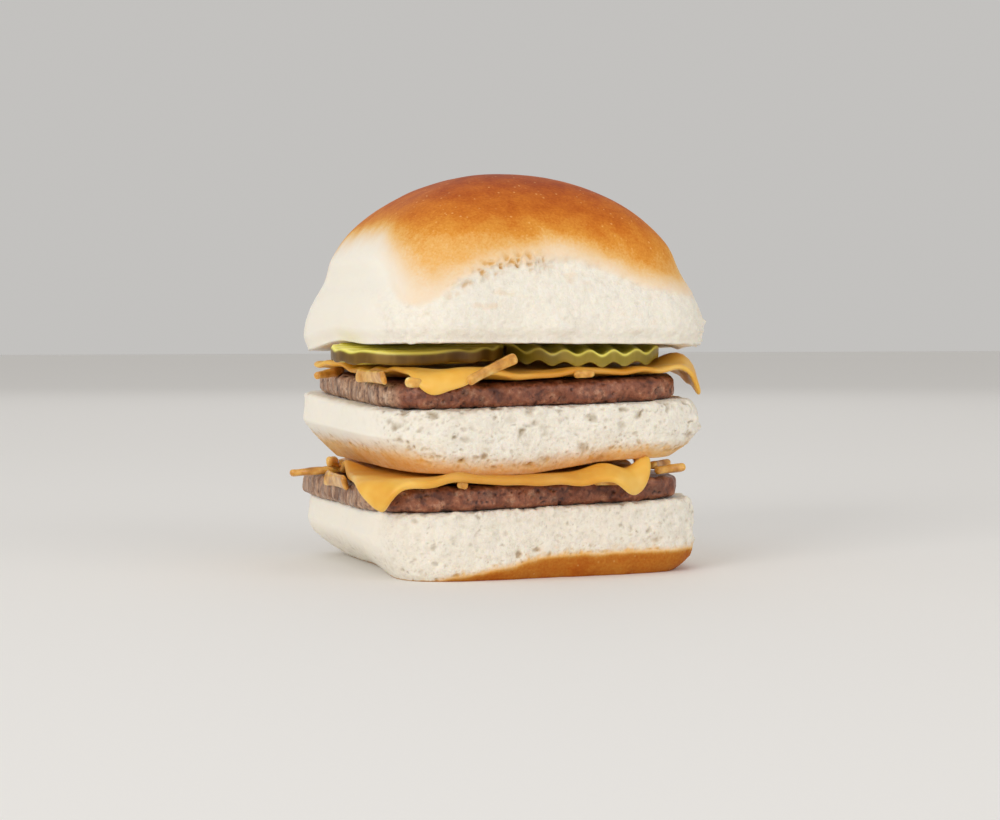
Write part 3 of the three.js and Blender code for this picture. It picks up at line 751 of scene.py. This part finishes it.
def pattyGrid(patty):
    # A rounded square with a side that bulges: 1 - pattyBulge |2t - 1|⁵ of the half width
    angle = turn(pattyColumns)
    rise = np.linspace(0, 1, pattyRows["side"])
    bulge = 1 - pattyBulge * np.abs(2 * rise - 1) ** 5
    inner = (1 - pattyBulge) * np.linspace(0, 1, pattyRows["face"], endpoint=False) ** 0.6
    share = np.array([*inner, *bulge, *inner[::-1]])[:, None]
    rise = np.array([*0 * inner, *rise, *(0 * inner + 1)])[:, None]
    reach = share * patty["half"] * squareReach(angle, stack["squareness"])
    c, s = np.cos(angle), np.sin(angle)
    seed = patty["seed"]
    rim = smooth(0.85, 0.955, share)
    (broad, broadSize), (small, smallSize) = pattyLumps
    bumpy = broad * rough(reach * c + seed, reach * s, rise * 4, broadSize, 2)
    bumpy = bumpy + small * rough(reach * s, reach * c + seed, rise * 4, smallSize, 2)
    reach = reach + rim * bumpy
    x, y = patty["centre"][0] + reach * c, patty["centre"][1] + reach * s
    z = mix(patty["bottom"](x, y) + 0.1, patty["top"](x, y), rise)
    return np.stack([x, y, z], -1), rise, rim


def addPatty(name, patty):
    # Grains and pits on three sides, and greyer, upright fibres on the left
    grid, rise, rim = pattyGrid(patty)
    x, y, z = np.moveaxis(grid, -1, 0)
    seed = patty["seed"]
    left = smooth(-0.9, -0.97, (x - patty["centre"][0]) / patty["half"])
    grains = rough(x, y, z, 1.8, 3, seed + 1)
    bent = [v + 0.6 * grain(x, y, z, 1.3, seed + 70 + n) for n, v in enumerate((x, y, z))]
    pits = smooth(0.05, 0.7, bubbles(*bent, 1.0, 0.2, 1.25, seed + 60))
    fibres = rough(x * 1.15, y * 1.15, z * 0.22 + 0.6 * grain(x, y, z, 2.5), 1.1, 2, seed + 90)
    height = mix(0.34 * grains - 0.3 * pits, 0.28 * fibres + 0.12 * grains, left)
    # Painted shade in the pits, in the low grains and between the fibres, and darker along the side's
    # top and bottom edges
    pit = mix(0.55 * pits + 0.5 * smooth(0, -0.5, grains), 0.5 * smooth(0.0, -0.4, fibres), left)
    edge = 0.4 * (smooth(0.9, 1, rise) + smooth(0.08, 0, rise)) * rim
    grid = raised(grid, height * rim)
    addPiece(name + "_patty_griddled", grid, name + "_patty", "beef", beef,
             pit=np.clip(pit + edge, 0, 1), grey=left * 0.85 + 0 * x)
    print(name, "patty made")


for name, patty in patties.items():
    addPatty(name, patty)

# Onion strips: short curved sticks with blunt ends. Each has its two ends, how far its middle bows
# sideways, its width and its height.
onionStrips = {
    "lower": [
        ((-29.5, 9.5, 19.35), (-40, 13, 18.3), 0.4, 2, 1.5),
        ((-35.3, 2.5, 18.0), (-35.9, -12.5, 17.9), 0.2, 1.2, 3),
        ((-31.6, 9, 20.4), (-35.2, 1.2, 21.3), 0.5, 1.6, 2.3),
        ((-20.6, -34.2, 18.7), (-18.5, -34.4, 18.4), 0.2, 1.2, 1.7),
        ((7.5, -34.1, 18.6), (13.6, -34, 18.3), 0.3, 1.1, 1.6),
        ((22.5, -30.2, 20), (29.6, -28.6, 20.4), 0.5, 2, 1.7),
        ((22.6, -28.4, 20.9), (28.4, -23.6, 21.1), 0.5, 1.7, 1.5),
        ((29.6, -6, 20.4), (34.6, 2.2, 20.1), 0.7, 1.2, 2.4),
        ((26.6, 24, 20.1), (32.2, 29.2, 19.9), 0.5, 1.9, 1.6),
        ((3.2, 30.8, 19.7), (12.4, 34.2, 19.7), 0.7, 1.9, 1.6),
        ((-18.4, 31.4, 19.3), (-9.2, 32.6, 19.4), 0.6, 1.8, 1.5),
    ],
    "upper": [
        ((-29.8, 9.4, 39.6), (-37.2, 3.2, 38.5), 0.4, 1.8, 1.6),
        ((-33.5, -13, 38.9), (-32.8, -27.5, 38.6), 0.4, 1.2, 2.6),
        ((-30.2, -31.9, 38), (-27, -32.6, 37.7), 0.2, 1.1, 1.8),
        ((-19.4, -36.6, 38), (-9.2, -35.8, 42.5), 0.5, 1.5, 2),
        ((3.6, -33.4, 39.1), (7.8, -33.6, 39.3), 0.2, 1.1, 1.4),
        ((29.4, 16.5, 41.3), (30.8, 24.5, 41.5), 0.6, 1.5, 1.5),
        ((-12.4, 30.4, 40.9), (-4, 32.2, 41), 0.6, 1.6, 1.7),
        ((-25.2, 27.6, 40.4), (-19.8, 30.6, 40.7), 0.4, 1.6, 1.6),
    ],
}
stripRows = 36
stripColumns = 28


def stripGrid(strip, seed):
    # Along a straight way with a sine's bow: a squarish section that rounds off over the last bit
    start, end, bow, width, height = strip
    start = np.array(start, float)
    along = np.array(end, float) - start
    side = np.cross((0, 0, 1), along)
    side = side / np.linalg.norm(side)
    up = np.cross(along, side)
    up = up / np.linalg.norm(up)
    t = (0.5 - 0.5 * np.cos(np.linspace(0, math.pi, stripRows)))[:, None]
    rounding = min(0.5, 0.7 / np.linalg.norm(along))
    full = np.sqrt(1 - np.maximum(0, 1 - np.minimum(t, 1 - t) / rounding) ** 2)
    full = full * (1 + 0.08 * np.sin(5 * t + 2.3 * seed))
    angle = turn(stripColumns)
    section = squareReach(angle, 2.6)
    wide = full * section * width / 2 * np.cos(angle)
    high = full * section * height / 2 * np.sin(angle)
    twist = 0.35 * np.sin(2.6 * t + seed)
    across = bow * np.sin(math.pi * t) + wide * np.cos(twist) - high * np.sin(twist)
    above = wide * np.sin(twist) + high * np.cos(twist)
    grid = start + t[..., None] * along + across[..., None] * side + above[..., None] * up
    x, y, z = np.moveaxis(grid, -1, 0)
    return raised(grid, 0.16 * rough(x, y, z, 2.4, 3, seed) * full)


for layer, strips in onionStrips.items():
    for i, strip in enumerate(strips):
        node = f"{layer}_onion_{i + 1}"
        addPiece(node + "_steamed", stripGrid(strip, i * 7 + len(layer)), node, "onion", onion)
print("onion made")

# Cheese: a slice with four soft corners. Each is given by where it would lie if it were flat, and
# by the angle at which it hangs once it is past the edge of the patty.
cheeseSlices = {
    "lower": {
        # Each corner, its angle, and the span of nearness to it over which the sheet bends
        "corners": [((-39.6, -34), 86, (0.84, 0.96)), ((18.2, -39.8), 78, (0.85, 0.96)),
                    ((32, 17), 20, (0.58, 0.92)), ((-27, 29), 15, (0.58, 0.92))],
        "edgeHang": 20,  # degrees, between the corners
        "squareness": 14,
        "flare": 0,  # how far the near corner spreads on its left
        "thinEdge": 0.1,  # share of the thickness that the edge has lost
        "ripple": 0.3,
        # Each bump's middle, height and width
        "bumps": [((-19.5, -33.5), 0.9, 4), ((9.5, -34), 1.6, 4), ((19.2, -33), 2.3, 2.8),
                  ((-33.5, -3), 2, 4), ((28, -2), 1.2, 8)],
    },
    "upper": {
        "corners": [((-26.4, -37.6), 82, (0.83, 0.95)), ((40.4, -28), 72, (0.62, 0.9)),
                    ((24, 35.6), 45, (0.58, 0.92)), ((-35.6, 17.5), 8, (0.58, 0.92))],
        "edgeHang": 12,
        "squareness": 11,
        "flare": 1.2,
        "thinEdge": 0.35,
        "ripple": 0.42,
        "bumps": [((31, -21), 2.4, 4.5), ((-15, -33), 1.3, 5), ((5.5, -32), 0.7, 5),
                  ((-21, -31), 0.9, 5),
                  ((-31, 6), 1.1, 8), ((-32, -18), 0.9, 7), ((-27, -25), 1.2, 4.5)],
    },
}
bendLength = 3.2  # over which the cheese turns from flat to hanging
cheeseColumns = 560
cheeseRows = {"face": 34, "edge": 12}


def cheeseMiddle(sheet, patty, u, v):
    # Bilinear over the four corners, then past the patty's edge bent down along an arc and on
    # straight, with bells that lift it
    corners = [np.array(at) for at, hang, span in sheet["corners"]]
    weights = [(1 - u) * (1 - v) / 4, (1 + u) * (1 - v) / 4, (1 + u) * (1 + v) / 4,
               (1 - u) * (1 + v) / 4]
    x = sum(w * corner[0] for w, corner in zip(weights, corners))
    y = sum(w * corner[1] for w, corner in zip(weights, corners))
    # The near corner flares out on its left
    x = x - sheet["flare"] * bell(v + 0.8, 0.17) * smooth(-0.5, -1, u)
    near = [smooth(*span, w) for w, (at, degrees, span) in zip(weights, sheet["corners"])]
    hang = sum(n * degrees for n, (at, degrees, span) in zip(near, sheet["corners"]))
    hang = np.radians(hang + (1 - sum(near)) * sheet["edgeHang"])
    n = stack["squareness"]
    px, py = x - patty["centre"][0], y - patty["centre"][1]
    far = (np.abs(px) ** n + np.abs(py) ** n) ** (1 / n)
    slopeX = np.sign(px) * (np.abs(px) / far) ** (n - 1)
    slopeY = np.sign(py) * (np.abs(py) / far) ** (n - 1)
    slope = np.hypot(slopeX, slopeY)
    past = np.maximum(0, (far - patty["half"] - 1) / slope)
    turned = np.minimum(past, bendLength)
    angle = hang * turned / bendLength
    radius = bendLength / np.maximum(hang, 0.05)
    straight = past - turned
    forward = radius * np.sin(angle) + straight * np.cos(angle)
    drop = radius * (1 - np.cos(angle)) + straight * np.sin(angle)
    x = x + slopeX / slope * (forward - past)
    y = y + slopeY / slope * (forward - past)
    z = patty["top"](x, y) + stack["gap"] + stack["cheeseThickness"] / 2 - drop
    for at, rise, width in sheet["bumps"]:
        z = z + rise * bell(np.hypot(x - at[0], y - at[1]), width)
    rim = smooth(0.75, 1, np.maximum(np.abs(u), np.abs(v)))
    ripple = sheet["ripple"] * (1 + lump(x, y, 0, 8)) * rim
    return np.stack([x, y, z + ripple], -1)


def cheeseGrid(sheet, patty):
    # Both faces of the sheet, joined by a half round edge
    face = np.linspace(0, 1, cheeseRows["face"], endpoint=False) ** 0.75
    lean = np.linspace(-math.pi / 2, math.pi / 2, cheeseRows["edge"])
    inset = 0.024
    share = np.array([*face * (1 - inset), *(1 - inset * (1 - np.cos(lean))),
                      *(face * (1 - inset))[::-1]])[:, None]
    side = np.array([*(0 * face - 1), *np.sin(lean), *(0 * face + 1)])[:, None]
    angle = turn(cheeseColumns)
    even = angle - 0.11 * np.sin(4 * angle)  # crowds the columns at the corners
    reach = share * squareReach(even, sheet["squareness"])
    u, v = reach * np.cos(even), reach * np.sin(even)
    tiny = 0.004
    middle = cheeseMiddle(sheet, patty, u, v)
    acrossU = cheeseMiddle(sheet, patty, u + tiny, v) - cheeseMiddle(sheet, patty, u - tiny, v)
    acrossV = cheeseMiddle(sheet, patty, u, v + tiny) - cheeseMiddle(sheet, patty, u, v - tiny)
    normal = np.cross(acrossU, acrossV)
    normal = normal / np.linalg.norm(normal, axis=2, keepdims=True)
    deep = smooth(0.88, 0.62, (1 + np.abs(u)) * (1 + np.abs(v)) / 4)  # painted shade, away from the corners
    thinner = 1 - sheet["thinEdge"] * smooth(0.8, 1, np.maximum(np.abs(u), np.abs(v)))
    return middle + normal * (side * thinner * stack["cheeseThickness"] / 2)[..., None], deep


for name, sheet in cheeseSlices.items():
    grid, deep = cheeseGrid(sheet, patties[name])
    x, y, z = np.moveaxis(grid, -1, 0)
    grid = raised(grid, 0.06 * rough(x, y, z, 6, 2, 3))
    addPiece(name + "_cheese_melted", grid, name + "_cheese", "cheese", cheese, deep=deep)
print("cheese made")

# Pickle chips: each is a round slice of a wavy sheet
pickles = {
    # Tilt is the slope, lean the way it tilts about and ridges the way across them, in degrees
    "left_pickle": {"at": (-19.4, -8.3, 43.5), "radius": 17.2, "tilt": 4.2, "lean": -32,
                    "ridges": 66, "ridgeHeight": 0.22, "skin": 1},
    "right_pickle": {"at": (12.2, -16.5, 43.5), "radius": 15.6, "tilt": 5.2, "lean": -8,
                     "ridges": -16, "ridgeHeight": 0.48, "skin": 0.75},
}
ridgeSpacing = 4.8
pickleColumns = 520
pickleRows = {"face": 30, "rim": 14}


def pickleGrid(chip):
    # Polar rings out to the rim and back. The height adds a cosine across the ridges, and the
    # whole chip is tilted about a level axis.
    face = np.linspace(0, 1, pickleRows["face"], endpoint=False) ** 0.8
    lean = np.linspace(-math.pi / 2, math.pi / 2, pickleRows["rim"])
    soft = 0.35  # radius of the rim's edges
    share = np.array([*face, *[1] * len(lean), *face[::-1]])[:, None]
    power = np.sign(np.sin(lean)) * np.abs(np.sin(lean)) ** 0.6
    side = np.array([*(0 * face - 1), *power, *(0 * face + 1)])[:, None]
    inset = np.array([*(0 * face), *(soft * (1 - np.cos(lean) ** 0.5)), *(0 * face)])[:, None]
    angle = turn(pickleColumns)
    wobble = 1 + 0.012 * np.sin(3 * angle + chip["radius"]) + 0.006 * np.sin(7 * angle)
    reach = share * (chip["radius"] * wobble - soft) + soft * np.minimum(share, 1) - inset
    x, y = reach * np.cos(angle), 0.97 * reach * np.sin(angle)
    turned = math.radians(chip["ridges"])
    wave = np.cos(2 * math.pi * (x * math.cos(turned) + y * math.sin(turned)) / ridgeSpacing)
    ridge = chip["ridgeHeight"] * wave * (1 + 0.25 * lump(x, y, 0, 9))
    z = ridge + side * stack["pickleThickness"] / 2
    way, tilt = math.radians(chip["lean"]), math.radians(chip["tilt"])
    axis = np.array([math.cos(way), math.sin(way), 0])
    flat = np.stack([x, y, z], -1)
    tilted = (flat * math.cos(tilt) + np.cross(axis, flat) * math.sin(tilt)
              + axis * (flat @ axis)[..., None] * (1 - math.cos(tilt)))
    skin = smooth(0.95, 0.999, share) * smooth(1.0, 0.9, side)
    # The wave's tops and the cut's upper edge catch the light
    edge = smooth(0.45, 0.9, side) * smooth(0.93, 0.99, share)
    crest = np.maximum(smooth(0.1, 1, wave * side), edge)
    return tilted + np.array(chip["at"]), chip["skin"] * skin * (1 - 0.85 * edge) + 0 * x, crest


for name, chip in pickles.items():
    grid, skin, crest = pickleGrid(chip)
    x, y, z = np.moveaxis(grid, -1, 0)
    grid = raised(grid, 0.07 * rough(x, y, z, 2.2, 3, 8))
    addPiece(name + "_brined", grid, name, "pickle", pickle, skin=skin, crest=crest)
print("pickles made")

# Camera, lights and floor. The camera's place and lens were worked out from the photograph.
cameraAt = (-161.3, -420.1, 47.5)
cameraPitch = 87.93
cameraHeading = -21.157
cameraLens = 78.62
cameraData = bpy.data.cameras.new("photo_camera")
cameraData.lens = cameraLens
cameraData.sensor_width = 36
cameraData.clip_start = 0.01
camera = bpy.data.objects.new("photo_camera", cameraData)
camera.location = [v * millimetre for v in cameraAt]
camera.rotation_euler = [math.radians(v) for v in (cameraPitch, 0, cameraHeading)]
bpy.context.scene.collection.objects.link(camera)
bpy.context.scene.camera = camera

# Softboxes, with places and sizes in metres
lightsAimAt = (0, 0, 0.04)
softboxes = {
    "key": {"at": (-0.95, -0.65, 0.38), "size": 0.6, "watts": 5.6},
    "fill": {"at": (0.55, -0.95, 0.4), "size": 0.8, "watts": 2.6},
    "back": {"at": (0.3, 0.9, 0.7), "size": 0.9, "watts": 0.9},
    "overhead": {"at": (-0.1, -0.2, 1.0), "size": 0.7, "watts": 0.7},
}
for name, box in softboxes.items():
    data = bpy.data.lights.new(name, "AREA")
    data.shape = "SQUARE"
    data.size = box["size"]
    data.energy = box["watts"]
    light = bpy.data.objects.new(name, data)
    light.location = box["at"]
    towards = np.array(lightsAimAt) - np.array(box["at"])
    pitch = math.atan2(math.hypot(towards[0], towards[1]), -towards[2])
    light.rotation_euler = (pitch, 0, math.atan2(towards[1], towards[0]) - math.pi / 2)
    bpy.context.scene.collection.objects.link(light)

world = bpy.data.worlds.new("studio")
world.use_nodes = True
setSockets(world.node_tree.nodes["Background"], {"Color": linear("#f1efec"), "Strength": 0.62})
bpy.context.scene.world = world
bpy.context.scene.view_settings.view_transform = "Standard"

floorMaterial, tree, shader, place = newMaterial("matt_floor")
setSockets(shader, {"Base Color": linear("#f4f2ef"), "Roughness": 0.9})
floorMesh = bpy.data.meshes.new("floor")
floorHalf = 4
floorMesh.from_pydata([(-floorHalf, -floorHalf, 0), (floorHalf, -floorHalf, 0),
                       (floorHalf, floorHalf, 0), (-floorHalf, floorHalf, 0)], [], [(0, 1, 2, 3)])
floorMesh.materials.append(floorMaterial)
floor = bpy.data.objects.new("floor", floorMesh)
bpy.context.scene.collection.objects.link(floor)
print("camera, lights and floor made")
